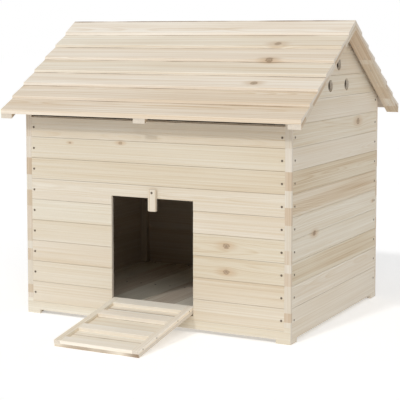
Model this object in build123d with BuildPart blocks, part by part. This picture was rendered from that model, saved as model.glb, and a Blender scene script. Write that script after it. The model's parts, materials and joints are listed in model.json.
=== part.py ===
from build123d import *
import math
import os

# Nesting box: a small boarded house on a raised floor, with a gable roof in two
# panels, a doorway whose door folds down as a ramp, and a turn button that holds
# the door shut.  Millimetres, +Z up, front of the house towards -Y.
# The origin is on the ground, in the middle of the ground area that the house
# and its lowered ramp cover.

os.makedirs("parts", exist_ok=True)

# ---------------------------------------------------------------- driving sizes
wall_width = 898.8            # outside of the walls along X
wall_depth = 724.0            # outside of the walls along Y
ground_gap = 12.0             # height of the feet under the base rails
board_face = 65.0             # height of one wall board as it shows
board_thick = 10.0
front_rail_top = 37.0         # where the front and back boards start
front_boards = 9              # courses in the front and back walls
roof_pitch = 33.0
ridge_height = 917.0          # where the two roof faces would meet
roof_length = 1002.6          # along X
roof_course = 72.1
roof_courses = 7
door_width = 278.0
door_bottom = 50.0
door_top = 390.0
ramp_width = 275.0
ramp_length = 331.0
hinge_height = 62.0           # ramp hinge above the ground

# ------------------------------------------------------------- secondary sizes
lap = 6.0                     # tongue that stands behind the next board
tongue_thick = 4.0
fit_gap = 0.2                 # play between a tongue and its rebate
seam_gap = 0.6                # open line between two courses
seam_chamfer = 1.0
face_slope = 0.8              # how far a board's face leans in at its top
foot_length = 45.7
trim_width = 20.0
trim_bottom = 48.0
trim_chamfer = 0.6
post_chamfer = 1.0
under_gap = 1.0               # gables and trims to the back of the roof boards
side_rail_top = 102.0
post_size = 25.0
eave_drop = 3.5               # the top front and back course ends this far down
eave_tongue = 3.0             # what is left of that course's tongue
floor_top = 45.0
floor_thick = 10.0
floor_planks = 8
plank_gap = 0.6
bearer_clearance = 3.0        # bearers stop this far above the rails' lower edge
floor_setback = 28.0          # front face of the wall to the floor's front edge
bearer_thick = 20.0
jamb_setback = 12.0           # door opening edge to the jamb batten
jamb_width = 30.0
jamb_thick = 15.0
door_clearance = 0.5          # closed door to the lip that stops it
lintel_height = 40.0
lintel_depth = 26.0
lintel_lip = 3.0              # stop for the closed door
roof_thick = 11.0             # roof board at its lower edge
roof_thin = 4.0               # roof board where the next one laps over it
roof_lap = 12.0
roof_nose = 0.8               # rounding of a roof board's lower edge
nose_back = 2.5               # a board's upper corner to its course line
batten_thick = 13.0
batten_width = 40.0
middle_batten_x = -9.0
batten_setback = 1.5          # eave face of the boards to the batten ends
rafter_gap = 0.5              # rafters to the back of the roof boards
rafter_depth = 37.0
rafter_width = 44.0
ridge_joint = 5.0             # ridge line back to the joint of the two panels
joint_gap = 0.25              # each panel's edge to the middle of that joint
vent_radius = 18.5
vent_low = 721.0              # height of the two lower vent holes
vent_high = 784.5
vent_spread = 68.3            # lower holes to the middle of the gable
ramp_layer = 10.0             # boards, and the frame that lies on them
ramp_seam = 0.5
ramp_chamfer = 0.8
ramp_boards = 5
ramp_stile = 20.0
ramp_heel = 7.0               # ramp's door end beyond the hinge line
hinge_depth = 5.0             # hinge line to the door's outer face
pin_radius = 2.0
pin_in_ramp = 28.0
pin_in_wall = 26.0
bore_play = 0.06
bore_end_gap = 1.0
button_width = 26.0
button_height = 65.5
button_thick = 10.0
button_x = 6.0
button_pivot = 407.5
button_above_pivot = 10.0
nail_head_radius = 3.2
nail_head_proud = 0.5
nail_radius = 1.4
nail_length = 24.0
roof_screw = 17.0
roof_screw_radius = 2.0
floor_nail = 20.0
stile_screw_head = 2.6
stile_screw_radius = 1.5
stile_screw_grip = 15.0       # length that holds in a cross batten
front_nail_inset = 29.0       # from the corner of the house
side_nail_inset = 25.0
first_nail = 67.0
gable_nail = 660.0

# ------------------------------------------------------------ derived positions
pitch = math.radians(roof_pitch)
half_width = wall_width / 2
half_depth = wall_depth / 2
inner_x = half_width - board_thick
inner_y = half_depth - board_thick
wall_top = front_rail_top + front_boards * board_face
eave_reach = (roof_course * roof_courses - nose_back) * math.cos(pitch)
ramp_reach = ramp_length - ramp_heel
ramp_radius = math.hypot(ramp_reach, hinge_depth)
ramp_slope = math.asin(hinge_height / ramp_radius) - math.atan2(hinge_depth, ramp_reach)
ramp_top_layer = 2 * ramp_layer - hinge_depth
hinge_inset = board_thick / 2
ramp_front = (half_depth - hinge_inset + ramp_reach * math.cos(ramp_slope)
              + ramp_top_layer * math.sin(ramp_slope))
# The ramp reaches further forward than the eave reaches back, so the house
# stands behind the origin by half the difference.
house_y = (ramp_front - eave_reach) / 2
front_y = house_y - half_depth
back_y = house_y + half_depth
hinge_y = front_y + hinge_inset
post_x = inner_x - post_size / 2
post_y = inner_y - post_size / 2
joint_y = house_y + ridge_joint
joint_z = ridge_height - ridge_joint * math.tan(pitch)
print(f"house centre at y {house_y:.2f}, ramp slope {math.degrees(ramp_slope):.3f} degrees")


def save(part, name):
    part.label = name
    export_step(part, f"parts/{name}.step")


def add_nails(face, spots, length=nail_length, head=nail_head_radius, shank=nail_radius):
    """Flat-headed nails or screws in the open part, driven square into a face."""
    with BuildSketch(face) as heads:
        with Locations(*spots):
            Circle(head)
    extrude(heads.sketch, amount=nail_head_proud)
    with BuildSketch(face) as shanks:
        with Locations(*spots):
            Circle(shank)
    extrude(shanks.sketch, amount=-length)


def roof_point(slope, height, side=1):
    """Point of a roof section: distance down the slope from the ridge line, and
    height above the back of the roof boards; side is 1 at the rear, -1 in front."""
    out = slope * math.cos(pitch) + (height - roof_thick) * math.sin(pitch)
    up = ridge_height - slope * math.sin(pitch) + (height - roof_thick) * math.cos(pitch)
    return (house_y + side * out, up)


def under_roof(distance):
    """Height of the roof boards' back at a distance from the ridge line."""
    return ridge_height - roof_thick / math.cos(pitch) - distance * math.tan(pitch)


# ------------------------------------------------------------------ wall planes
# Local x points out of the wall, local y is up, and the boards run along z.
front_wall = Plane(origin=(0, front_y + board_thick, 0), x_dir=(0, -1, 0), z_dir=(-1, 0, 0))
back_wall = Plane(origin=(0, back_y - board_thick, 0), x_dir=(0, 1, 0), z_dir=(1, 0, 0))
left_wall = Plane(origin=(-inner_x, house_y, 0), x_dir=(-1, 0, 0), z_dir=(0, 1, 0))
right_wall = Plane(origin=(inner_x, house_y, 0), x_dir=(1, 0, 0), z_dir=(0, -1, 0))


def board_outline(low, high, laps_below=True, tongue=lap):
    """Section of one wall board, from its inner face at 0 outwards."""
    back_low = low + lap + fit_gap if laps_below else low
    points = [(0, back_low)]
    if laps_below:
        points += [(tongue_thick + fit_gap, back_low), (tongue_thick + fit_gap, low)]
    points += [
        (board_thick - seam_chamfer, low),
        (board_thick, low + seam_chamfer),
        (board_thick - face_slope, high - seam_gap),
    ]
    if tongue:
        points += [(tongue_thick, high - seam_gap), (tongue_thick, high + tongue), (0, high + tongue)]
    else:
        points += [(0, high - seam_gap)]
    return points


def add_board(plane, low, high, length, shift=0.0, laps_below=True, tongue=lap):
    """Extrude one board inside the open part, centred on shift along its length."""
    with BuildSketch(plane.offset(shift)) as section:
        with BuildLine():
            Polyline(*board_outline(low, high, laps_below, tongue), close=True)
        make_face()
    extrude(section.sketch, amount=length / 2, both=True)


# ------------------------------------------------------------------- base rails
def front_rail(name, plane):
    """Board under a front or back wall: feet below, shoulders under the trims."""
    outer = half_width
    foot = outer - foot_length
    shoulder = outer - trim_width
    half = [
        (0, ground_gap), (foot, ground_gap), (foot, 0), (outer, 0),
        (outer, trim_bottom), (shoulder, trim_bottom), (shoulder, front_rail_top),
        (0, front_rail_top),
    ]
    side = Plane(origin=plane.origin, x_dir=(1, 0, 0), z_dir=plane.x_dir)
    up = 1 if side.y_dir.Z > 0 else -1
    with BuildPart() as rail:
        with BuildSketch(side):
            with BuildLine():
                Polyline(*[(x, up * z) for x, z in half], close=True)
            make_face()
            mirror(about=Plane.YZ)
        extrude(amount=board_thick)
    save(rail.part, name)


front_rail("base_rail_front", front_wall)
front_rail("base_rail_back", back_wall)

for side_name, side_sign in (("left", -1), ("right", 1)):
    foot_end = inner_y - (foot_length - board_thick)
    with BuildPart() as side_rail:
        with BuildSketch(Plane.YZ.offset(side_sign * (inner_x + board_thick / 2))):
            with Locations((house_y, (ground_gap + side_rail_top) / 2)):
                Rectangle(2 * inner_y, side_rail_top - ground_gap - seam_gap)
            for end in (-1, 1):
                with Locations((house_y + end * (inner_y + foot_end) / 2, ground_gap)):
                    Rectangle(inner_y - foot_end, 2 * ground_gap)
        extrude(amount=board_thick / 2, both=True)
        with BuildSketch(Plane.XZ.offset(-house_y)):
            with Locations((side_sign * (inner_x + tongue_thick / 2), side_rail_top)):
                Rectangle(tongue_thick, 2 * lap)
        extrude(amount=inner_y, both=True)
    save(side_rail.part, f"base_rail_{side_name}")

# ------------------------------------------------------ corner posts and trims
trim_top = under_roof(half_depth) - under_gap
for depth_name, depth_sign in (("front", -1), ("back", 1)):
    for side_name, side_sign in (("left", -1), ("right", 1)):
        corner = f"{depth_name}_{side_name}"
        with BuildPart() as post:
            with BuildSketch():
                with Locations((side_sign * post_x, house_y + depth_sign * post_y)):
                    Rectangle(post_size, post_size)
            extrude(amount=wall_top)
            chamfer(post.edges().filter_by(Axis.Z), post_chamfer)
        save(post.part, f"corner_post_{corner}")

        trim_x = side_sign * (half_width - trim_width / 2)
        trim_y = house_y + depth_sign * (half_depth - board_thick / 2)
        with BuildPart() as trim:
            with BuildSketch(Plane.XY.offset(trim_bottom)):
                with Locations((trim_x, trim_y)):
                    Rectangle(trim_width, board_thick)
            extrude(amount=trim_top - trim_bottom)
            chamfer(trim.edges().filter_by(Axis.Z), trim_chamfer)
        save(trim.part, f"corner_trim_{corner}")

# ------------------------------------------------------------------ front boards
front_length = 2 * (half_width - trim_width)
course_low = [front_rail_top + board_face * i for i in range(front_boards)]
course_top = [*course_low[1:], wall_top - eave_drop]
course_tongue = [lap] * (front_boards - 1) + [eave_tongue]


def cut_door(low, high):
    """Cut the door opening through boards between two heights."""
    with BuildSketch(Plane.XZ.offset(-front_y)) as opening:
        with Locations((0, (low + high) / 2)):
            Rectangle(door_width, high - low)
    extrude(opening.sketch, amount=2 * board_thick, both=True, mode=Mode.SUBTRACT)


with BuildPart() as sill_board:
    add_board(front_wall, course_low[0], course_low[1], front_length, laps_below=False)
    cut_door(door_bottom, course_low[2])
save(sill_board.part, "front_sill_board")

side_board = (front_length - door_width) / 2
side_shift = (front_length + door_width) / 4
for side_name, shift in (("left", side_shift), ("right", -side_shift)):
    with BuildPart() as door_side:
        for i in range(1, 5):
            add_board(front_wall, course_low[i], course_low[i + 1], side_board, shift)
    save(door_side.part, f"front_boards_{side_name}_of_door")

with BuildPart() as header_board:
    add_board(front_wall, course_low[5], course_low[6], front_length)
    cut_door(course_low[4], door_top)
save(header_board.part, "front_header_board")

with BuildPart() as above_door:
    for low, high, tongue in zip(course_low[6:], course_top[6:], course_tongue[6:]):
        add_board(front_wall, low, high, front_length, tongue=tongue)
save(above_door.part, "front_boards_above_door")

with BuildPart() as back_boards:
    for low, high, tongue in zip(course_low, course_top, course_tongue):
        add_board(back_wall, low, high, front_length,
                  laps_below=low > front_rail_top, tongue=tongue)
save(back_boards.part, "back_wall_boards")

# ----------------------------------------------------------- side walls, gables
side_courses = round((wall_top - side_rail_top) / board_face)
gable_courses = math.ceil((ridge_height - wall_top) / board_face)

for side_name, side_sign, plane in (("left", -1, left_wall), ("right", 1, right_wall)):
    with BuildPart() as side_boards:
        for i in range(side_courses):
            low = side_rail_top + i * board_face
            add_board(plane, low, low + board_face, 2 * inner_y)
    save(side_boards.part, f"{side_name}_wall_boards")

    with BuildPart() as gable:
        for i in range(gable_courses):
            low = wall_top + i * board_face
            add_board(plane, low, low + board_face, 2 * inner_y)
        with BuildSketch(Plane.YZ):
            with BuildLine():
                Polyline(
                    (house_y - half_depth, 0), (house_y + half_depth, 0),
                    (house_y + half_depth, under_roof(half_depth) - under_gap),
                    (house_y, under_roof(0) - under_gap),
                    (house_y - half_depth, under_roof(half_depth) - under_gap), close=True)
            make_face()
        extrude(amount=wall_width, both=True, mode=Mode.INTERSECT)
        with BuildSketch(Plane.YZ):
            with Locations((house_y, vent_high), (house_y - vent_spread, vent_low),
                           (house_y + vent_spread, vent_low)):
                Circle(vent_radius)
        extrude(amount=wall_width, both=True, mode=Mode.SUBTRACT)
    save(gable.part, f"{side_name}_gable_boards")

# ------------------------------------------------------------------------ floor
plank_width = 2 * (inner_x - fit_gap) / floor_planks
floor_front = front_y + floor_setback
floor_length = back_y - board_thick - fit_gap - floor_front
with BuildPart() as floor:
    for i in range(floor_planks):
        plank_x = -inner_x + fit_gap + plank_width * (i + 0.5)
        with BuildSketch(Plane.XY.offset(floor_top - floor_thick)):
            with Locations((plank_x, floor_front + floor_length / 2)):
                Rectangle(plank_width - plank_gap, floor_length)
        extrude(amount=floor_thick)
    with BuildSketch(Plane.XY):
        for side_sign in (-1, 1):
            for depth_sign in (-1, 1):
                with Locations((side_sign * post_x, house_y + depth_sign * post_y)):
                    Rectangle(post_size + 2 * fit_gap, post_size + 2 * fit_gap)
    extrude(amount=floor_top, mode=Mode.SUBTRACT)
    chamfer(floor.faces().sort_by(Axis.Z)[-floor_planks:].edges().filter_by(Axis.Y), trim_chamfer)
save(floor.part, "floor_boards")

bearer_y = inner_y - post_size / 2
bearer_height = floor_top - floor_thick - ground_gap - bearer_clearance
bearer_places = (
    (floor_front + bearer_thick / 2, 2 * (inner_x - post_size)),
    (house_y, 2 * inner_x),
    (house_y + bearer_y, 2 * (inner_x - post_size)),
)
with BuildPart() as bearers:
    for place_y, length in bearer_places:
        with BuildSketch(Plane.XY.offset(floor_top - floor_thick - bearer_height)):
            with Locations((0, place_y)):
                Rectangle(length - 2 * fit_gap, bearer_thick)
        extrude(amount=bearer_height)
save(bearers.part, "floor_bearers")

with BuildPart() as floor_nails:
    for place_y, length in bearer_places:
        for i in range(floor_planks):
            plank_x = -inner_x + fit_gap + plank_width * (i + 0.5)
            quarter = plank_width / 4
            # The outer planks are nailed in the middle, clear of the corner posts.
            outer_plank = i in (0, floor_planks - 1)
            across = [plank_x] if outer_plank else [plank_x - quarter, plank_x + quarter]
            add_nails(Plane.XY.offset(floor_top), [(x, place_y) for x in across], floor_nail)
save(floor_nails.part, "floor_nails")

# ------------------------------------------------------------------ door frame
jamb_x = door_width / 2 + jamb_setback + jamb_width / 2
jamb_low = 40.0
for side_name, side_sign in (("left", -1), ("right", 1)):
    with BuildPart() as jamb:
        with BuildSketch(Plane.XY.offset(jamb_low)):
            with Locations((side_sign * jamb_x, front_y + board_thick + jamb_thick / 2)):
                Rectangle(jamb_width, jamb_thick)
        extrude(amount=door_top - jamb_low)
        chamfer(jamb.edges().filter_by(Axis.Z), trim_chamfer)
    save(jamb.part, f"door_jamb_{side_name}")

lintel_back = front_y + board_thick + lintel_depth
lip_front = front_y + 2 * ramp_layer + door_clearance
with BuildPart() as lintel:
    with BuildSketch(Plane.YZ):
        with BuildLine():
            Polyline(
                (front_y + board_thick, door_top), (lip_front, door_top),
                (lip_front, door_top - lintel_lip), (lintel_back, door_top - lintel_lip),
                (lintel_back, door_top + lintel_height),
                (front_y + board_thick, door_top + lintel_height), close=True)
        make_face()
    extrude(amount=jamb_x + jamb_width / 2, both=True)
    # The lip stands between the jambs, so it is cut away above them.
    for side_sign in (-1, 1):
        with BuildSketch(Plane.XY.offset(door_top - lintel_lip)):
            with Locations((side_sign * jamb_x, front_y + board_thick)):
                Rectangle(jamb_width + 2 * fit_gap, 3 * lintel_depth)
        extrude(amount=lintel_lip, mode=Mode.SUBTRACT)
save(lintel.part, "door_lintel")

# ----------------------------------------------------------------- roof panels
leaf_length = 32.0
leaf_height = 21.0
leaf_thick = 1.2
leaf_play = 0.5
knuckle_radius = 2.5
ridge_pin_radius = 1.1
past_ridge = 20.0             # strips start this far beyond the ridge line, then are cut
verge_x = roof_length / 2 - batten_width / 2
hinge_centres = (-verge_x, verge_x)


def ridge_cuts(side):
    """Trim a roof piece at the joint of the two panels, with the hinge recesses.
    The front panel reaches a little over the ridge, down to the rear slope."""
    far = 2 * half_depth
    slope_top = [roof_point(-far, roof_thick), roof_point(far, roof_thick)]
    with BuildSketch(Plane.YZ) as waste:
        with Locations((joint_y - side * (far / 2 - joint_gap), joint_z)):
            Rectangle(far, far)
        with BuildLine():
            Polyline(*slope_top, (slope_top[1][0], far * 2), (slope_top[0][0], far * 2), close=True)
        make_face()
    extrude(waste.sketch, amount=roof_length, both=True, mode=Mode.SUBTRACT)
    for centre in hinge_centres:
        with BuildSketch(Plane.YZ.offset(centre)) as recess:
            with Locations((joint_y, joint_z - leaf_height / 2)):
                Rectangle(2 * (leaf_thick + leaf_play), leaf_height + 2 * leaf_play)
            with Locations((joint_y, joint_z)):
                Circle(knuckle_radius + leaf_play)
        extrude(recess.sketch, amount=leaf_length / 2 + leaf_play, both=True, mode=Mode.SUBTRACT)


def roof_board_outline(course, side):
    """Section of one lapped roof board, thick at its plumb lower edge."""
    high = course * roof_course
    low = high + roof_course
    shelf = roof_thin + fit_gap
    drop = math.tan(pitch)
    if course == 0:
        points = [(high - past_ridge, 0), (high - past_ridge, roof_thick), (high, roof_thick)]
    else:
        points = [(high - roof_lap, 0), (high - roof_lap, roof_thin - fit_gap),
                  (high + fit_gap, roof_thin - fit_gap)]
    nose = low - nose_back
    points += [(nose - roof_nose, roof_thick),
               (nose + roof_nose * drop, roof_thick - roof_nose)]
    if course == roof_courses - 1:
        points += [(nose + roof_thick * drop, 0)]
    else:
        points += [(nose + (roof_thick - shelf) * drop, shelf),
                   (low - roof_lap - fit_gap, shelf), (low - roof_lap - fit_gap, 0)]
    return [roof_point(slope, height, side) for slope, height in points]


def roof_strip_outline(depth, side, gap=0.0):
    """Section of a batten or rafter that lies under the roof boards."""
    length = roof_courses * roof_course + batten_thick
    corners = [(-past_ridge, -gap), (length, -gap), (length, -depth), (-past_ridge, -depth)]
    return [roof_point(slope, height, side) for slope, height in corners]


for panel_name, side in (("front", -1), ("rear", 1)):
    with BuildPart() as roof_boards:
        for course in range(roof_courses):
            with BuildSketch(Plane.YZ):
                with BuildLine():
                    Polyline(*roof_board_outline(course, side), close=True)
                make_face()
            extrude(amount=roof_length / 2, both=True)
        ridge_cuts(side)
    save(roof_boards.part, f"roof_{panel_name}_boards")

    for place, centre in (("left", -verge_x), ("middle", middle_batten_x), ("right", verge_x)):
        with BuildPart() as batten:
            with BuildSketch(Plane.YZ.offset(centre)) as strip:
                with BuildLine():
                    Polyline(*roof_strip_outline(batten_thick, side), close=True)
                make_face()
                eave_cut = eave_reach - batten_setback
                with Locations((house_y + side * (eave_cut - half_depth), ridge_height)):
                    Rectangle(2 * half_depth, 2 * ridge_height, mode=Mode.INTERSECT)
            extrude(amount=batten_width / 2, both=True)
            ridge_cuts(side)
        save(batten.part, f"roof_{panel_name}_batten_{place}")

    for side_name, side_sign in (("left", -1), ("right", 1)):
        rafter_x = side_sign * (inner_x - rafter_width / 2)
        with BuildPart() as rafter:
            with BuildSketch(Plane.YZ.offset(rafter_x)) as strip:
                with BuildLine():
                    Polyline(*roof_strip_outline(rafter_depth, side, gap=rafter_gap), close=True)
                make_face()
                # Plumb cuts: flush with the wall at the eave, mitred at the ridge.
                with Locations((house_y + side * half_depth / 2, ridge_height)):
                    Rectangle(half_depth - fit_gap, 2 * ridge_height, mode=Mode.INTERSECT)
            extrude(amount=rafter_width / 2, both=True)
            # The corner trim runs up beside the rafter's end.
            with BuildSketch(Plane.XY):
                with Locations((side_sign * (half_width - trim_width / 2),
                                house_y + side * (half_depth - board_thick / 2))):
                    Rectangle(trim_width + 2 * fit_gap, board_thick + 2 * fit_gap)
            extrude(amount=ridge_height, mode=Mode.SUBTRACT)
        save(rafter.part, f"rafter_{panel_name}_{side_name}")

    # Screws from below, through each batten into each roof board.
    first_screw = roof_point(roof_course / 2, -batten_thick, side)
    under_battens = Plane(
        origin=(0, *first_screw), x_dir=(1, 0, 0),
        z_dir=(0, -side * math.sin(pitch), -math.cos(pitch)))
    down = 1 if under_battens.y_dir.Z < 0 else -1
    with BuildPart() as roof_screws:
        for course in range(roof_courses):
            level = down * roof_course * course
            spots = [(x, level) for x in (-verge_x, middle_batten_x, verge_x)]
            add_nails(under_battens, spots, roof_screw, head=roof_screw_radius)
    save(roof_screws.part, f"roof_{panel_name}_screws")

# ----------------------------------------------------------------- roof hinges
knuckle_gap = 0.3
middle_knuckle = 12.0
end_knuckle = (leaf_length - middle_knuckle) / 2 - knuckle_gap
end_offset = (leaf_length - end_knuckle) / 2
knuckles = {"front": ((-end_offset, end_knuckle), (end_offset, end_knuckle)),
            "rear": ((0.0, middle_knuckle),)}

for leaf_name, side in (("front", -1), ("rear", 1)):
    leaf_y = joint_y + side * (joint_gap + leaf_thick / 2)
    with BuildPart() as leaves:
        for centre in hinge_centres:
            with BuildSketch(Plane.YZ.offset(centre)):
                with Locations((leaf_y, joint_z - (leaf_height + knuckle_radius) / 2)):
                    Rectangle(leaf_thick, leaf_height - knuckle_radius)
            extrude(amount=leaf_length / 2, both=True)
            for offset, span in knuckles[leaf_name]:
                with BuildSketch(Plane.YZ.offset(centre + offset)):
                    with Locations((joint_y, joint_z)):
                        Circle(knuckle_radius)
                    with Locations((leaf_y, joint_z - knuckle_radius)):
                        Rectangle(leaf_thick, 2 * knuckle_radius)
                extrude(amount=span / 2, both=True)
        with BuildSketch(Plane.YZ):
            with Locations((joint_y, joint_z)):
                Circle(ridge_pin_radius + bore_play)
        extrude(amount=roof_length, both=True, mode=Mode.SUBTRACT)
    save(leaves.part, f"roof_hinge_{leaf_name}_leaves")

with BuildPart() as ridge_pins:
    for centre in hinge_centres:
        with BuildSketch(Plane.YZ.offset(centre)):
            with Locations((joint_y, joint_z)):
                Circle(ridge_pin_radius)
        extrude(amount=leaf_length / 2, both=True)
save(ridge_pins.part, "roof_hinge_pins")

# ------------------------------------------------------------------------- ramp
# Lowered, with its free end on the ground.  Local x is X, local y runs up the
# ramp towards the house, and local z is square to it; the hinge line is at 0.
ramp_plane = Plane(
    origin=(0, hinge_y, hinge_height), x_dir=(1, 0, 0),
    z_dir=(0, -math.sin(ramp_slope), math.cos(ramp_slope)))
ramp_up = Axis((0, 0, 0), ramp_plane.z_dir)
ramp_middle = ramp_heel - ramp_length / 2
frame_level = ramp_layer - hinge_depth
half_ramp = ramp_width / 2
ramp_board_face = ramp_length / ramp_boards

with BuildPart() as deck:
    for i in range(ramp_boards):
        with BuildSketch(ramp_plane.offset(-hinge_depth)):
            with Locations((0, ramp_heel - ramp_board_face * (i + 0.5))):
                Rectangle(ramp_width, ramp_board_face - ramp_seam)
        extrude(amount=ramp_layer)
    with BuildSketch(Plane.YZ):
        with Locations((hinge_y, hinge_height)):
            Circle(pin_radius + bore_play)
    bore = extrude(amount=ramp_width, both=True, mode=Mode.PRIVATE)
    solid_middle = Box(2 * (half_ramp - pin_in_ramp - bore_end_gap), ramp_length, ramp_length,
                       mode=Mode.PRIVATE)
    add(bore - solid_middle.moved(Location((0, hinge_y, hinge_height))), mode=Mode.SUBTRACT)
save(deck.part, "ramp_boards")

for side_name, side_sign in (("left", -1), ("right", 1)):
    with BuildPart() as stile:
        with BuildSketch(ramp_plane.offset(frame_level)):
            with Locations((side_sign * (half_ramp - ramp_stile / 2), ramp_middle)):
                Rectangle(ramp_stile, ramp_length)
        extrude(amount=ramp_layer)
        chamfer(stile.faces().sort_by(ramp_up)[-1].edges(), ramp_chamfer)
    save(stile.part, f"ramp_stile_{side_name}")

# Distance of each cross batten's upper edge from the ramp's door end, and width.
cross_battens = ((0.0, 40.0), (95.0, 32.0), (203.0, 31.0), (300.0, 31.0))
for i, (start, width) in enumerate(cross_battens, start=1):
    with BuildPart() as cross:
        with BuildSketch(ramp_plane.offset(frame_level)):
            with Locations((0, ramp_heel - start - width / 2)):
                Rectangle(ramp_width - 2 * (ramp_stile + fit_gap), width)
        extrude(amount=ramp_layer)
        chamfer(cross.faces().sort_by(ramp_up)[-1].edges(), ramp_chamfer)
    save(cross.part, f"ramp_batten_{i}")

with BuildPart() as hinge_pins:
    for side_sign in (-1, 1):
        pin_start = side_sign * (half_ramp - pin_in_ramp)
        pin_end = side_sign * (door_width / 2 + pin_in_wall)
        with BuildSketch(Plane.YZ.offset(min(pin_start, pin_end))):
            with Locations((hinge_y, hinge_height)):
                Circle(pin_radius)
        extrude(amount=abs(pin_end - pin_start))
save(hinge_pins.part, "ramp_hinge_pins")

# Screws through the stiles' outer edges into the cross battens, measured from
# the ramp's door end.
stile_screws = (30.0, 103.0, 228.0, 306.0)
stile_screw_level = frame_level + ramp_layer / 2
with BuildPart() as ramp_screws:
    for side_sign in (-1, 1):
        edge = Plane(
            origin=ramp_plane.from_local_coords((side_sign * half_ramp, 0, stile_screw_level)),
            x_dir=ramp_plane.y_dir, z_dir=(side_sign, 0, 0))
        spots = [(ramp_heel - place, 0) for place in stile_screws]
        add_nails(edge, spots, ramp_stile + stile_screw_grip, stile_screw_head, stile_screw_radius)
save(ramp_screws.part, "ramp_screws")

# ------------------------------------------------------------------ turn button
button_gap = 0.3
button_corner = 2.5
button_chamfer = 0.8
button_screw_radius = 2.0
button_head_radius = 3.6
button_plane = Plane(
    origin=(button_x, front_y - button_gap, button_pivot), x_dir=(1, 0, 0), z_dir=(0, -1, 0))
with BuildPart() as button:
    with BuildSketch(button_plane):
        with Locations((0, button_above_pivot - button_height / 2)):
            RectangleRounded(button_width, button_height, button_corner)
    extrude(amount=button_thick)
    chamfer(button.faces().sort_by(Axis.Y)[0].edges(), button_chamfer)
    with Locations(button_plane.offset(button_thick)):
        CounterSinkHole(button_screw_radius + bore_play, button_head_radius + button_gap,
                        counter_sink_angle=90)
save(button.part, "turn_button")

head_taper = button_head_radius - button_screw_radius
with BuildPart() as button_screw:
    with BuildSketch(button_plane.offset(button_thick)):
        Circle(button_head_radius)
    extrude(amount=-head_taper, taper=45)
    with BuildSketch(button_plane.offset(button_thick - head_taper)):
        Circle(button_screw_radius)
    extrude(amount=-(button_thick - head_taper + board_thick))
save(button_screw.part, "turn_button_screw")

# ------------------------------------------------------------------ wall nails
nail_heights = [first_nail + board_face * i for i in range(front_boards)]
front_nail_x = half_width - front_nail_inset
side_nail_y = half_depth - side_nail_inset
wall_faces = (
    ("front", Plane(origin=(0, front_y, 0), x_dir=(1, 0, 0), z_dir=(0, -1, 0)), front_nail_x, ()),
    ("back", Plane(origin=(0, back_y, 0), x_dir=(-1, 0, 0), z_dir=(0, 1, 0)), front_nail_x, ()),
    ("left", Plane(origin=(-half_width, house_y, 0), x_dir=(0, -1, 0), z_dir=(-1, 0, 0)),
     side_nail_y, (gable_nail,)),
    ("right", Plane(origin=(half_width, house_y, 0), x_dir=(0, 1, 0), z_dir=(1, 0, 0)),
     side_nail_y, (gable_nail,)),
)
for wall_name, face, reach, extra in wall_faces:
    with BuildPart() as nails:
        for height in (*nail_heights, *extra):
            add_nails(face, [(-reach, height), (reach, height)])
    save(nails.part, f"{wall_name}_wall_nails")
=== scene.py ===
import json
import math

import bpy
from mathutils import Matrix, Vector


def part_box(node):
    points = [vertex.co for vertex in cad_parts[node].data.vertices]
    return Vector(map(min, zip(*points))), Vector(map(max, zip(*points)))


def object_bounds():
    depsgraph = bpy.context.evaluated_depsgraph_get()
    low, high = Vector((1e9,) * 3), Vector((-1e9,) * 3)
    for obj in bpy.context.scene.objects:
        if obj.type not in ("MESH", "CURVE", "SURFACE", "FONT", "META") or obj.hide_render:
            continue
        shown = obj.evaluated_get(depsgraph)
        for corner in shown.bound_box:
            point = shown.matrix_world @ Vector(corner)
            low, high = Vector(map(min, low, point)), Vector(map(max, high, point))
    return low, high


# Nesting box of raw softwood boards.  Metres, +Z up, front towards -Y.
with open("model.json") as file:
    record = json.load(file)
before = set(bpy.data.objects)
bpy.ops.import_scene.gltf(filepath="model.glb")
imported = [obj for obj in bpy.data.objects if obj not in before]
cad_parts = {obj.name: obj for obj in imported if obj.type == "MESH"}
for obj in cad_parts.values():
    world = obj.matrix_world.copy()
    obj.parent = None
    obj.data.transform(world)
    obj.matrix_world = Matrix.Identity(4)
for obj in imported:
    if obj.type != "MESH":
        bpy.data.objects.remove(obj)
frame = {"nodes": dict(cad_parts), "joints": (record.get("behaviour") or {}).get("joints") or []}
cad_low, cad_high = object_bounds()

# ------------------------------------------------------------- sizes of the box
board_face = 0.065            # height of one wall board as it shows
front_base = 0.037            # where the front and back boards start
side_base = 0.102             # where the side boards start
wall_courses = 9
side_courses = 12
roof_pitch = math.radians(33.0)
roof_course = 0.0721
roof_courses = 7
roof_reach = 0.42118          # level distance from the ridge to the eave
wall_nudge = 0.0005           # keeps a board's own lower edge in its own course
roof_nudge = 0.0021
ramp_course = 0.0662
ramp_courses = 5
ramp_heel = 0.007             # the deck's upper end, beyond the hinge line
floor_planks = 8
batten_length = 0.52
trim_length = 0.68

X, Y, Z = Vector((1, 0, 0)), Vector((0, 1, 0)), Vector((0, 0, 1))


# ------------------------------------------------------------------ camera
camera_turn = math.radians(27.338)    # from the front towards the right
camera_drop = math.radians(5.041)     # how far the lens looks down
camera_distance = 3.7752
camera_lens = 108.51
camera_shift = -0.15
aim_offset = Vector((0.0291, 0.0236, 0.0863))


def add_camera(low, high):
    """A long lens from the front right, a little above the eaves."""
    forward = Vector((-math.sin(camera_turn) * math.cos(camera_drop),
                      math.cos(camera_turn) * math.cos(camera_drop),
                      -math.sin(camera_drop)))
    aim = (low + high) / 2 + aim_offset
    lens = bpy.data.cameras.new("camera")
    lens.lens = camera_lens
    lens.shift_y = camera_shift
    camera = bpy.data.objects.new("camera", lens)
    camera.location = aim - forward * camera_distance
    camera.rotation_mode = "QUATERNION"
    camera.rotation_quaternion = forward.to_track_quat("-Z", "Y")
    bpy.context.scene.collection.objects.link(camera)
    bpy.context.scene.camera = camera


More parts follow.
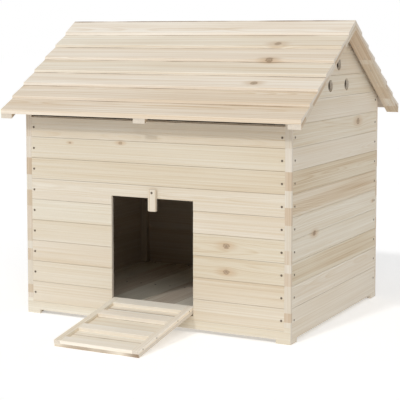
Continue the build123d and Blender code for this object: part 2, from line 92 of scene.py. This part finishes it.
# ------------------------------------------------------------ shader writing
def linear(red, green, blue):
    """A colour given in 0-255 display values, as the renderer's linear one."""
    def one(value):
        share = value / 255
        return share / 12.92 if share <= 0.04045 else ((share + 0.055) / 1.055) ** 2.4
    return (one(red), one(green), one(blue), 1.0)


class Shader:
    """A material being written: each method adds a node and gives its output."""

    def __init__(self, name):
        self.material = bpy.data.materials.new(name)
        self.material.use_nodes = True
        self.tree = self.material.node_tree
        self.surface = self.tree.nodes["Principled BSDF"]
        place = self.tree.nodes.new("ShaderNodeTexCoord")
        self.place = place.outputs["Object"]
        self.normal = place.outputs["Normal"]

    def feed(self, socket, value):
        if isinstance(value, bpy.types.NodeSocket):
            self.tree.links.new(value, socket)
        elif isinstance(value, Vector):
            socket.default_value = value[:]
        else:
            socket.default_value = value

    def node(self, kind, inputs, **settings):
        """inputs maps a socket's name or number to a value or another socket."""
        made = self.tree.nodes.new("ShaderNode" + kind)
        for name, value in settings.items():
            setattr(made, name, value)
        for name, value in inputs.items():
            self.feed(made.inputs[name], value)
        return made

    def math(self, operation, first, second=0.0, clamp=False):
        return self.node("Math", {0: first, 1: second},
                         operation=operation, use_clamp=clamp).outputs[0]

    def add(self, first, second):
        return self.math("ADD", first, second)

    def subtract(self, first, second):
        return self.math("SUBTRACT", first, second)

    def times(self, first, second):
        return self.math("MULTIPLY", first, second)

    def dot(self, vector, direction):
        return self.node("VectorMath", {0: vector, 1: direction},
                         operation="DOT_PRODUCT").outputs["Value"]

    def join(self, x, y, z):
        return self.node("CombineXYZ", {0: x, 1: y, 2: z}).outputs[0]

    def split(self, vector):
        return self.node("SeparateXYZ", {0: vector}).outputs

    def length(self, x, y):
        return self.node("VectorMath", {0: self.join(x, y, 0.0)},
                         operation="LENGTH").outputs["Value"]

    def random(self, number):
        """Three numbers from 0 to 1 that depend on one number."""
        made = self.node("TexWhiteNoise", {"W": number}, noise_dimensions="1D")
        return self.split(made.outputs["Color"])

    def noise(self, vector, detail=2.0, roughness=0.5, scale=1.0, distortion=0.0):
        made = self.node("TexNoise", {"Vector": vector, "Scale": scale, "Detail": detail,
                                      "Roughness": roughness, "Distortion": distortion})
        return made.outputs[0]

    def step(self, value, low, high, to_low=0.0, to_high=1.0):
        """A smooth step from to_low at low to to_high at high."""
        made = self.node("MapRange", {"Value": value, "From Min": low, "From Max": high,
                                      "To Min": to_low, "To Max": to_high},
                         interpolation_type="SMOOTHSTEP")
        return made.outputs[0]

    def ramp(self, value, stops, interpolation="LINEAR"):
        made = self.node("ValToRGB", {0: value})
        ramp = made.color_ramp
        ramp.interpolation = interpolation
        while len(ramp.elements) < len(stops):
            ramp.elements.new(1.0)
        for element, (position, color) in zip(ramp.elements, stops):
            element.position = position
            element.color = color
        return made.outputs[0]

    def mix(self, share, first, second, blend="MIX"):
        made = self.node("Mix", {0: share, 6: first, 7: second},
                         data_type="RGBA", blend_type=blend)
        return made.outputs[2]


def grey(value):
    return (value, value, value, 1.0)


# -------------------------------------------------------------------- wood
wood_shades = ((0.0, linear(250, 244, 232)), (0.25, linear(240, 229, 212)),
               (0.45, linear(231, 217, 197)), (0.65, linear(223, 204, 177)),
               (0.85, linear(203, 177, 143)), (1.0, linear(172, 140, 104)))
floor_shades = ((0.0, linear(236, 230, 215)), (0.35, linear(223, 216, 200)),
                (0.6, linear(206, 190, 173)), (1.0, linear(168, 146, 124)))
knot_shades = ((0.0, linear(140, 118, 98)), (0.45, linear(186, 164, 138)),
               (0.75, linear(148, 124, 102)), (1.0, linear(200, 176, 146)))
end_shade = linear(228, 217, 200)
# Painted shade for the seams between boards.
painted_seam_shade = linear(134, 104, 74)
# A grey-brown used for the specks on sawn ends, and multiplied onto the inner faces as painted
# shade.
grime_and_shade = linear(182, 172, 166)
wall_shades = ((0.0, linear(244, 240, 230)), (0.25, linear(232, 225, 211)),
                (0.45, linear(223, 213, 196)), (0.65, linear(217, 203, 180)),
                (0.85, linear(202, 180, 150)), (1.0, linear(170, 140, 106)))
# Painted light: paler than the walls' shades, so that the ramp, which gets less light here, shows
# as bright as the walls.
ramp_shades = ((0.0, linear(252, 247, 237)), (0.3, linear(247, 238, 222)),
               (0.6, linear(235, 219, 196)), (1.0, linear(198, 168, 134)))
strip_shades = ((0.0, linear(236, 230, 219)), (0.3, linear(221, 212, 198)),
                (0.68, linear(205, 186, 162)), (1.0, linear(182, 158, 130)))
# Painted shade: a darker copy of the wood for the posts and rafters inside the house, as dark as
# the inner faces with painted shade.
inner_shaded_shades = ((0.0, linear(210, 196, 176)), (0.5, linear(192, 177, 157)),
                (1.0, linear(152, 134, 114)))


def lying(grain, across, origin, course=None, courses=1, nudge=wall_nudge, shaded=1, seam=0.05):
    """How boards lie: the directions along and across them, a point on the lower
    edge of the first board, and the distance from one board to the next.
    shaded says which edge the next board shades, 1 or -1, and seam how strong the painted shade
    along that edge is."""
    return {"grain": grain, "across": across, "origin": Vector(origin), "course": course,
            "courses": courses, "nudge": nudge, "shaded": shaded, "seam": seam}


def board_of(s, across_place, layout):
    """Which board a point is on, and how far it is from that board's middle."""
    if layout["course"] is None:
        return 0.0, across_place
    nudged = s.subtract(across_place, layout["nudge"])
    counted = s.math("FLOOR", s.times(nudged, 1 / layout["course"]))
    board = s.math("MINIMUM", s.math("MAXIMUM", counted, 0.0), float(layout["courses"] - 1))
    middle = s.times(s.add(board, 0.5), layout["course"])
    return board, s.subtract(across_place, middle)


def tone_of(s, board, tones):
    """The stated shade of each board in turn."""
    if len(tones) == 1:
        return tones[0]
    stops = [(index / len(tones), grey(tone)) for index, tone in enumerate(tones)]
    return s.ramp(s.times(s.add(board, 0.5), 1 / len(tones)), stops, "CONSTANT")


def joined_lengths(s, along, bands, reach):
    """Finger-jointed strip: a shade for each stated length of it, in metres."""
    stops = [(start / reach, grey(tone)) for start, tone in bands]
    return s.ramp(s.times(along, 1 / reach), stops, "CONSTANT")


def grain_push(s, along, across, knots):
    """How far the knots push the grain aside, and each knot's own distances."""
    bulge, marks = 0.0, []
    for knot_along, knot_across, size, darkness in knots:
        du = s.subtract(along, knot_along)
        dv = s.subtract(across, knot_across)
        reach = s.length(s.times(du, 0.40 / size), s.times(dv, 1.0 / size))
        push = s.math("EXPONENT", s.times(s.times(reach, reach), -0.30))
        bulge = s.add(s.times(s.times(dv, push), -0.75), bulge)
        core = s.length(s.times(du, 0.75 / size), s.times(dv, 1.0 / size))
        marks.append((core, reach, darkness))
    return bulge, marks


def growth_rings(s, along, offset, inward, number, chance, fibre):
    """Rings around a heart line that runs beside the board, 0 pale to 1 dark."""
    wander = s.split(s.node("TexNoise", {
        "Vector": s.join(s.times(along, 2.2), number, 3.0), "Scale": 1.0, "Detail": 1.5,
    }).outputs["Color"])
    ring_across = s.add(offset, s.add(s.times(s.subtract(chance[0], 0.5), 0.16),
                                      s.times(s.subtract(wander[0], 0.5), 0.03)))
    ring_inward = s.add(s.add(inward, s.add(s.times(chance[1], 0.05), 0.010)),
                        s.add(s.times(s.subtract(wander[1], 0.5), 0.03),
                              s.times(s.times(s.subtract(chance[2], 0.5), along), 0.03)))
    radius = s.add(s.length(ring_across, ring_inward), s.times(fibre, 0.0004))
    spacing = s.add(s.times(chance[1], -120.0), 400.0)
    phase = s.math("FRACT", s.times(radius, spacing))
    return s.ramp(phase, ((0.0, grey(0.0)), (0.40, grey(0.10)), (0.84, grey(1.0)),
                          (1.0, grey(0.0))))


def paint_knots(s, color, marks, fibre):
    for core, halo, darkness in marks:
        ragged = s.add(core, s.times(s.subtract(fibre, 0.5), 1.3))
        # The darker halo round each knot is the wood's own colour.
        halo_tint = s.step(halo, 0.5, 2.3, 0.60 * darkness, 0.0)
        color = s.mix(halo_tint, color, linear(198, 168, 132))
        color = s.mix(s.step(ragged, 0.6, 1.3, darkness, 0.0), color,
                      s.ramp(ragged, knot_shades))
    return color


def paint_seam_shade(s, color, along, offset, number, layout):
    """Painted shade: an uneven darker line along the edge that the next board shades, standing in
    for the shade in the seam.
    """
    line_start, line_end, faintest = 0.0010, 0.0045, 0.15
    edge = s.add(layout["course"] / 2, s.times(offset, -layout["shaded"]))
    uneven = s.noise(s.join(s.times(along, 5.0), number, 7.0), detail=2.5, roughness=0.6)
    strength = s.step(uneven, 0.36, 0.66, faintest * layout["seam"], layout["seam"])
    nudge = layout["nudge"]
    line = s.times(s.step(edge, nudge + line_start, nudge + line_end, 1.0, 0.0), strength)
    return s.mix(line, color, painted_seam_shade)


ring_strength = 0.24
streak_strength = 0.36
fine_strength = 0.75
slow_strength = 0.26
hue_strength = 0.6
seed_step = 17.31             # keeps the boards of two materials different


def wood(name, layout, seed, tones=(0.45,), spread=0.10, knots=(), bands=None, reach=1.0,
         shades=wood_shades, contrast=1.0, warmer=0.0, inside=None, darker=0.6):
    """Planed softwood.  tones gives a shade for each board in turn, bands for
    each length of a jointed strip.  contrast says how strong the grain is, and
    warmer how much the tone deepens towards +X, painted light standing in for
    warmer light on that side.  inside is the direction in which the inner faces
    look, which get painted shade, and darker how deep that painted shade is."""
    s = Shader(name)
    local = s.node("VectorMath", {0: s.place, 1: layout["origin"]},
                   operation="SUBTRACT").outputs[0]
    along = s.dot(local, layout["grain"])
    across = s.dot(local, layout["across"])
    inward = s.dot(local, layout["grain"].cross(layout["across"]))
    board, offset = board_of(s, across, layout)
    number = s.add(board, seed * seed_step)
    base = tone_of(s, board, tones)
    if bands:
        base = joined_lengths(s, along, bands, reach)
        number = s.add(number, s.times(base, 41.7))
    chance = s.random(number)
    second_chance = s.random(s.add(number, 0.37))
    bulge, marks = grain_push(s, along, across, knots)
    fibre = s.noise(s.join(s.times(along, 9.0), s.times(across, 330.0), s.times(inward, 330.0)))
    ring = growth_rings(s, along, s.add(offset, bulge), inward, number, chance, fibre)
    ring_fade = s.step(s.noise(s.join(s.times(along, 1.7), s.times(across, 30.0), number),
                               detail=1.0), 0.3, 0.7, 0.3, 1.0)

    # Broad and fine streaks along the grain, and a slow change along the board.
    bent = s.add(across, bulge)
    streak = s.noise(s.join(s.times(along, 1.1), s.times(bent, 50.0),
                            s.add(s.times(inward, 50.0), number)), detail=2.0, roughness=0.6)
    fine = s.noise(s.join(s.times(along, 1.6), s.times(bent, 260.0),
                          s.add(s.times(inward, 260.0), number)), detail=1.0, roughness=0.5)
    slow = s.noise(s.join(s.times(along, 2.6), s.times(across, 9.0), number), detail=1.5)
    tone = s.add(base, s.times(s.subtract(second_chance[0], 0.5), spread))
    tone = s.add(tone, s.times(s.times(s.subtract(ring, 0.4), ring_fade),
                             ring_strength * contrast))
    tone = s.add(tone, s.times(s.subtract(streak, 0.5), streak_strength * contrast))
    tone = s.add(tone, s.times(s.subtract(fine, 0.5), fine_strength * contrast))
    tone = s.add(tone, s.times(s.subtract(slow, 0.5), slow_strength))
    # Painted light: the tone deepens towards +X, standing in for warmer light on that side.
    if warmer:
        tone = s.add(tone, s.step(s.dot(s.place, X), -0.45, 0.45, -warmer / 2, warmer / 2))
    color = s.ramp(tone, shades)
    # A little pink in some boards and a little green in others.
    hue = s.mix(s.step(second_chance[1], 0.2, 0.8), (0.99, 1.0, 0.975, 1.0),
                (1.0, 0.975, 0.955, 1.0))
    color = s.mix(hue_strength, color, hue, "MULTIPLY")
    color = paint_knots(s, color, marks, fibre)
    if layout["course"]:
        color = paint_seam_shade(s, color, along, offset, number, layout)

    # Sawn ends are paler and plain, with darker specks.  The faces that look inside are
    # multiplied by a grey-brown: painted shade, standing in for the shade inside.
    end = s.step(s.math("ABSOLUTE", s.dot(s.normal, layout["grain"])), 0.6, 0.9)
    speck = s.noise(s.place, detail=2.0, scale=500.0)
    color = s.mix(end, color, s.mix(s.step(speck, 0.3, 0.7, 0.0, 0.3), end_shade, grime_and_shade))
    if inside:
        painted_shade = s.step(s.dot(s.normal, inside), 0.6, 0.9, 0.0, darker)
        color = s.mix(painted_shade, color, grime_and_shade, "MULTIPLY")

    s.feed(s.surface.inputs["Base Color"], color)
    s.feed(s.surface.inputs["Roughness"], s.step(streak, 0.2, 0.8, 0.52, 0.72))
    s.surface.inputs["Specular IOR Level"].default_value = 0.3
    relief = s.add(s.times(ring, 0.5), fibre)
    bump = s.node("Bump", {"Strength": 0.35, "Distance": 0.0004, "Height": relief})
    s.feed(s.surface.inputs["Normal"], bump.outputs[0])
    return s.material


def metal(name, dark, light, shine):
    """Nail heads and screws: dull steel, blotched."""
    s = Shader(name)
    blotch = s.noise(s.place, detail=3.0, scale=420.0)
    s.feed(s.surface.inputs["Base Color"], s.ramp(blotch, ((0.3, dark), (0.7, light))))
    s.feed(s.surface.inputs["Roughness"], s.step(blotch, 0.3, 0.7, 0.4, 0.65))
    s.surface.inputs["Metallic"].default_value = shine
    bump = s.node("Bump", {"Strength": 0.3, "Distance": 0.0002, "Height": blotch})
    s.feed(s.surface.inputs["Normal"], bump.outputs[0])
    return s.material


def slope(sign):
    """The direction down a roof panel: sign -1 is the front one."""
    return Vector((0, sign * math.cos(roof_pitch), -math.sin(roof_pitch)))


def under(sign):
    """The direction out of a roof panel's lower face: sign -1 is the front one."""
    return Vector((0, -sign * math.sin(roof_pitch), -math.cos(roof_pitch)))


def paint(material, *names):
    """Gives CAD nodes one material."""
    for name in names:
        for place in frame["nodes"][name].material_slots:
            place.material = material


front_tones = (0.52, 0.55, 0.58, 0.58, 0.50, 0.50, 0.58, 0.54, 0.55)
side_tones = (0.42, 0.65, 0.45, 0.50, 0.72, 0.70, 0.45, 0.60, 0.48, 0.48, 0.58, 0.54)
front_look = {"shades": wall_shades, "contrast": 0.72, "warmer": 0.08}
side_look = {"shades": wall_shades, "contrast": 0.85}


def paint_walls():
    """Boards and base rails, each wall with its own run of grain."""
    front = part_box("front_sill_board")[0].y
    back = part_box("back_wall_boards")[1].y
    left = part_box("left_wall_boards")[0].x
    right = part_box("right_wall_boards")[1].x
    front_boards = lying(X, Z, (0, front, front_base), board_face, wall_courses)
    back_boards = lying(X, Z, (0, back, front_base), board_face, wall_courses)
    left_boards = lying(Y, Z, (left, 0, side_base), board_face, side_courses)
    right_boards = lying(Y, Z, (right, 0, side_base), board_face, side_courses)
    # inside gives each wall's inner faces, which get painted shade.
    paint(wood("front_left", front_boards, 1, front_tones, inside=Y, **front_look),
          "front_boards_left_of_door")
    right_knots = ((0.247, 0.230, 0.0085, 0.9), (0.247, 0.154, 0.0085, 0.9))
    paint(wood("front_right", front_boards, 2, front_tones, knots=right_knots, inside=Y,
               **front_look), "front_boards_right_of_door")
    upper_knots = ((-0.287, 0.507, 0.0035, 0.8), (-0.107, 0.5135, 0.0050, 0.8))
    paint(wood("front_whole", front_boards, 3, front_tones, knots=upper_knots, inside=Y,
               **front_look), "front_boards_above_door", "front_header_board", "front_sill_board")
    paint(wood("back_wall", back_boards, 4, front_tones[::-1], inside=-Y, **side_look),
          "back_wall_boards")
    right_side_knots = ((-0.059, 0.192, 0.0085, 1.0), (0.304, 0.499, 0.0105, 0.9),
                        (0.451, 0.225, 0.005, 0.7))
    paint(wood("right_wall", right_boards, 5, side_tones, knots=right_side_knots, inside=-X,
               **side_look), "right_wall_boards", "right_gable_boards")
    paint(wood("left_wall", left_boards, 6, side_tones[::-1], inside=X, **side_look),
          "left_wall_boards", "left_gable_boards")
    paint(wood("front_rail", lying(X, Z, (0, front, 0)), 7, inside=Y, **front_look),
          "base_rail_front")
    paint(wood("back_rail", lying(X, Z, (0, back, 0)), 8, inside=-Y, **side_look),
          "base_rail_back")
    paint(wood("left_rail", lying(Y, Z, (left, 0, 0)), 9, inside=X, **side_look),
          "base_rail_left")
    paint(wood("right_rail", lying(Y, Z, (right, 0, 0)), 10, (0.42,), inside=-X,
               **side_look), "base_rail_right")


roof_tones = (0.24, 0.38, 0.38, 0.38, 0.27, 0.52, 0.43)
batten_bands = ((0.0, 0.66), (0.188, 0.46), (0.212, 0.62), (0.352, 0.74), (0.425, 0.5),
                (0.474, 0.72))
other_bands = ((0.0, 0.5), (0.11, 0.68), (0.21, 0.45), (0.30, 0.72), (0.41, 0.56),
               (0.47, 0.7))
trim_bands = ((0.0, 0.36), (0.062, 0.62), (0.088, 0.44), (0.165, 0.58), (0.202, 0.30),
              (0.228, 0.56), (0.266, 0.42), (0.340, 0.66), (0.389, 0.40), (0.437, 0.68),
              (0.490, 0.32), (0.556, 0.48))


def paint_roof():
    """Boards, battens and rafters of both panels."""
    front_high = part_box("roof_front_boards")[1].z
    ridge_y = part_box("roof_rear_boards")[1].y - roof_reach
    ridge = (0, ridge_y, front_high)
    front_boards = lying(X, slope(-1), ridge, roof_course, roof_courses, roof_nudge, -1, 1.0)
    rear_boards = lying(X, slope(1), ridge, roof_course, roof_courses, roof_nudge, -1, 1.0)
    front_knots = ((0.294, 0.128, 0.0100, 0.8), (0.297, 0.212, 0.0100, 1.0),
                   (0.2935, 0.332, 0.0090, 0.8))
    # The panels' lower faces get deep painted shade (darker 0.85).
    paint(wood("front_roof", front_boards, 21, roof_tones, knots=front_knots, contrast=1.25,
               warmer=0.14, inside=under(-1), darker=0.85), "roof_front_boards")
    paint(wood("rear_roof", rear_boards, 22, roof_tones[::-1], contrast=1.25,
               inside=under(1), darker=0.85), "roof_rear_boards")
    for index, part in enumerate(("left", "middle", "right")):
        paint(wood(f"front_batten_{part}", lying(slope(-1), X, ridge), 30 + index,
                   bands=other_bands, reach=batten_length, shades=strip_shades),
              f"roof_front_batten_{part}")
        paint(wood(f"rear_batten_{part}", lying(slope(1), X, ridge), 40 + index,
                   bands=batten_bands, reach=batten_length, shades=strip_shades),
              f"roof_rear_batten_{part}")
    for index, part in enumerate(("left", "right")):
        # The rafters inside get the darker shades, painted shade.
        paint(wood(f"front_rafter_{part}", lying(slope(-1), X, ridge), 50 + index, (0.7,),
                   shades=inner_shaded_shades), f"rafter_front_{part}")
        paint(wood(f"rear_rafter_{part}", lying(slope(1), X, ridge), 52 + index, (0.7,),
                   shades=inner_shaded_shades), f"rafter_rear_{part}")


def paint_frame():
    """Corner posts and trims, door jambs and lintel."""
    for index, side in enumerate(("front_left", "front_right", "back_left", "back_right")):
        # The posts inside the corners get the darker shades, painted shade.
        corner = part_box(f"corner_post_{side}")[0]
        paint(wood(f"post_{side}", lying(Z, X, corner), 60 + index, (0.7,),
                   shades=inner_shaded_shades), f"corner_post_{side}")
        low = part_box(f"corner_trim_{side}")[0]
        paint(wood(f"trim_{side}", lying(Z, X, (low.x, low.y, 0)), 70 + index,
                   bands=trim_bands, reach=trim_length, shades=strip_shades, contrast=0.6),
              f"corner_trim_{side}")
    for index, side in enumerate(("left", "right")):
        paint(wood(f"jamb_{side}", lying(Z, X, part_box(f"door_jamb_{side}")[0]), 80 + index,
                   (0.7,)), f"door_jamb_{side}")
    paint(wood("lintel", lying(X, Z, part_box("door_lintel")[0]), 82, (0.7,)), "door_lintel")


def paint_floor():
    """Planks of alternating shades, and the bearers."""
    low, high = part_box("floor_boards")
    tones = (0.25, 0.5, 0.2, 0.52, 0.2, 0.5, 0.22, 0.4)
    layout = lying(Y, X, (low.x, 0, high.z), (high.x - low.x) / floor_planks, floor_planks)
    paint(wood("floor", layout, 90, tones, shades=floor_shades), "floor_boards")
    paint(wood("bearers", lying(X, Y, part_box("floor_bearers")[0]), 91), "floor_bearers")


def paint_ramp():
    """Deck, stiles and cross battens, and the turn button."""
    hinge = next(j for j in frame["joints"] if j["child"] == "ramp")
    start = Vector(hinge["pos_m"])
    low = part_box("ramp_boards")[0]
    tilt = math.atan2(start.z, start.y - low.y)
    down = Vector((0, -math.cos(tilt), -math.sin(tilt)))
    boards = lying(X, down, start - down * ramp_heel, ramp_course, ramp_courses, seam=0.9)
    deck_tones = (0.34, 0.28, 0.42, 0.34, 0.30)
    # The deck's lower face gets painted shade (darker 0.28), so that the shut door shows no
    # brighter than the wall.
    below = Vector((0, math.sin(tilt), -math.cos(tilt)))
    paint(wood("ramp_deck", boards, 100, deck_tones, shades=ramp_shades, inside=below,
               darker=0.28), "ramp_boards")
    for index, side in enumerate(("left", "right")):
        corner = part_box(f"ramp_stile_{side}")[0]
        paint(wood(f"stile_{side}", lying(down, X, corner), 101 + index, (0.34,),
                   shades=ramp_shades), f"ramp_stile_{side}")
    for index in range(1, 5):
        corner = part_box(f"ramp_batten_{index}")[0]
        paint(wood(f"ramp_batten_{index}", lying(X, down, corner), 110 + index, (0.28,),
                   shades=ramp_shades), f"ramp_batten_{index}")
    paint(wood("button", lying(Z, X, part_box("turn_button")[0]), 120, (0.50,), spread=0.0,
               shades=wall_shades), "turn_button")


def paint_steel():
    """Dark nails, and paler screws and hinges."""
    nails = metal("nail_steel", linear(92, 80, 68), linear(128, 114, 98), 0.6)
    paint(nails, "floor_nails", "front_wall_nails", "back_wall_nails", "left_wall_nails",
          "right_wall_nails", "ramp_hinge_pins", "turn_button_screw")
    zinc = metal("zinc", linear(170, 164, 152), linear(206, 200, 186), 0.5)
    paint(zinc, "roof_front_screws", "roof_rear_screws", "ramp_screws",
          "roof_hinge_front_leaves", "roof_hinge_rear_leaves", "roof_hinge_pins")


# ------------------------------------------------------------------- studio
floor_glow = 0.33              # brings the floor up to the white of the backdrop


def add_floor():
    """A wide pale floor, level with the feet."""
    s = Shader("studio_floor")
    cloud = s.noise(s.place, detail=2.0, scale=1.3)
    s.feed(s.surface.inputs["Base Color"],
           s.ramp(cloud, ((0.3, grey(0.90)), (0.7, grey(0.92)))))
    s.surface.inputs["Emission Color"].default_value = grey(1.0)
    s.surface.inputs["Emission Strength"].default_value = floor_glow
    s.surface.inputs["Roughness"].default_value = 0.9
    s.surface.inputs["Specular IOR Level"].default_value = 0.1
    half = 30.0
    mesh = bpy.data.meshes.new("studio_floor")
    ground = cad_low.z - 0.0002
    mesh.from_pydata([(-half, -half, ground), (half, -half, ground),
                      (half, half, ground), (-half, half, ground)], [], [(0, 1, 2, 3)])
    mesh.materials.append(s.material)
    floor = bpy.data.objects.new("studio_floor", mesh)
    bpy.context.scene.collection.objects.link(floor)


def add_sky(strength, backdrop):
    """An even white surround, a little brighter where it shows as the backdrop."""
    world = bpy.data.worlds.new("studio")
    world.use_nodes = True
    tree = world.node_tree
    tree.nodes.clear()
    surround = tree.nodes.new("ShaderNodeBackground")
    surround.inputs["Strength"].default_value = strength
    surround.inputs["Color"].default_value = (1, 1, 1, 1)
    shown = tree.nodes.new("ShaderNodeBackground")
    shown.inputs["Strength"].default_value = backdrop
    shown.inputs["Color"].default_value = (1, 1, 1, 1)
    path = tree.nodes.new("ShaderNodeLightPath")
    choice = tree.nodes.new("ShaderNodeMixShader")
    output = tree.nodes.new("ShaderNodeOutputWorld")
    tree.links.new(path.outputs["Is Camera Ray"], choice.inputs[0])
    tree.links.new(surround.outputs[0], choice.inputs[1])
    tree.links.new(shown.outputs[0], choice.inputs[2])
    tree.links.new(choice.outputs[0], output.inputs["Surface"])
    bpy.context.scene.world = world


def add_sun(name, azimuth, elevation, strength, spread):
    """Soft light from far away.  Azimuth 0 is in front, 90 on the right."""
    light = bpy.data.lights.new(name, "SUN")
    light.energy = strength
    light.angle = math.radians(spread)
    turn, rise = math.radians(azimuth), math.radians(elevation)
    away = Vector((math.sin(turn) * math.cos(rise), -math.cos(turn) * math.cos(rise),
                   math.sin(rise)))
    lamp = bpy.data.objects.new(name, light)
    lamp.rotation_mode = "QUATERNION"
    lamp.rotation_quaternion = (-away).to_track_quat("-Z", "Y")
    bpy.context.scene.collection.objects.link(lamp)


add_camera(cad_low, cad_high)
bpy.context.scene.view_settings.view_transform = "Standard"
add_sky(0.46, 1.0)
add_sun("key", -9, 41, 0.85, 5.0)
add_sun("fill", 30, 38, 0.60, 28.0)
add_floor()
paint_walls()
paint_roof()
paint_frame()
paint_floor()
paint_ramp()
paint_steel()
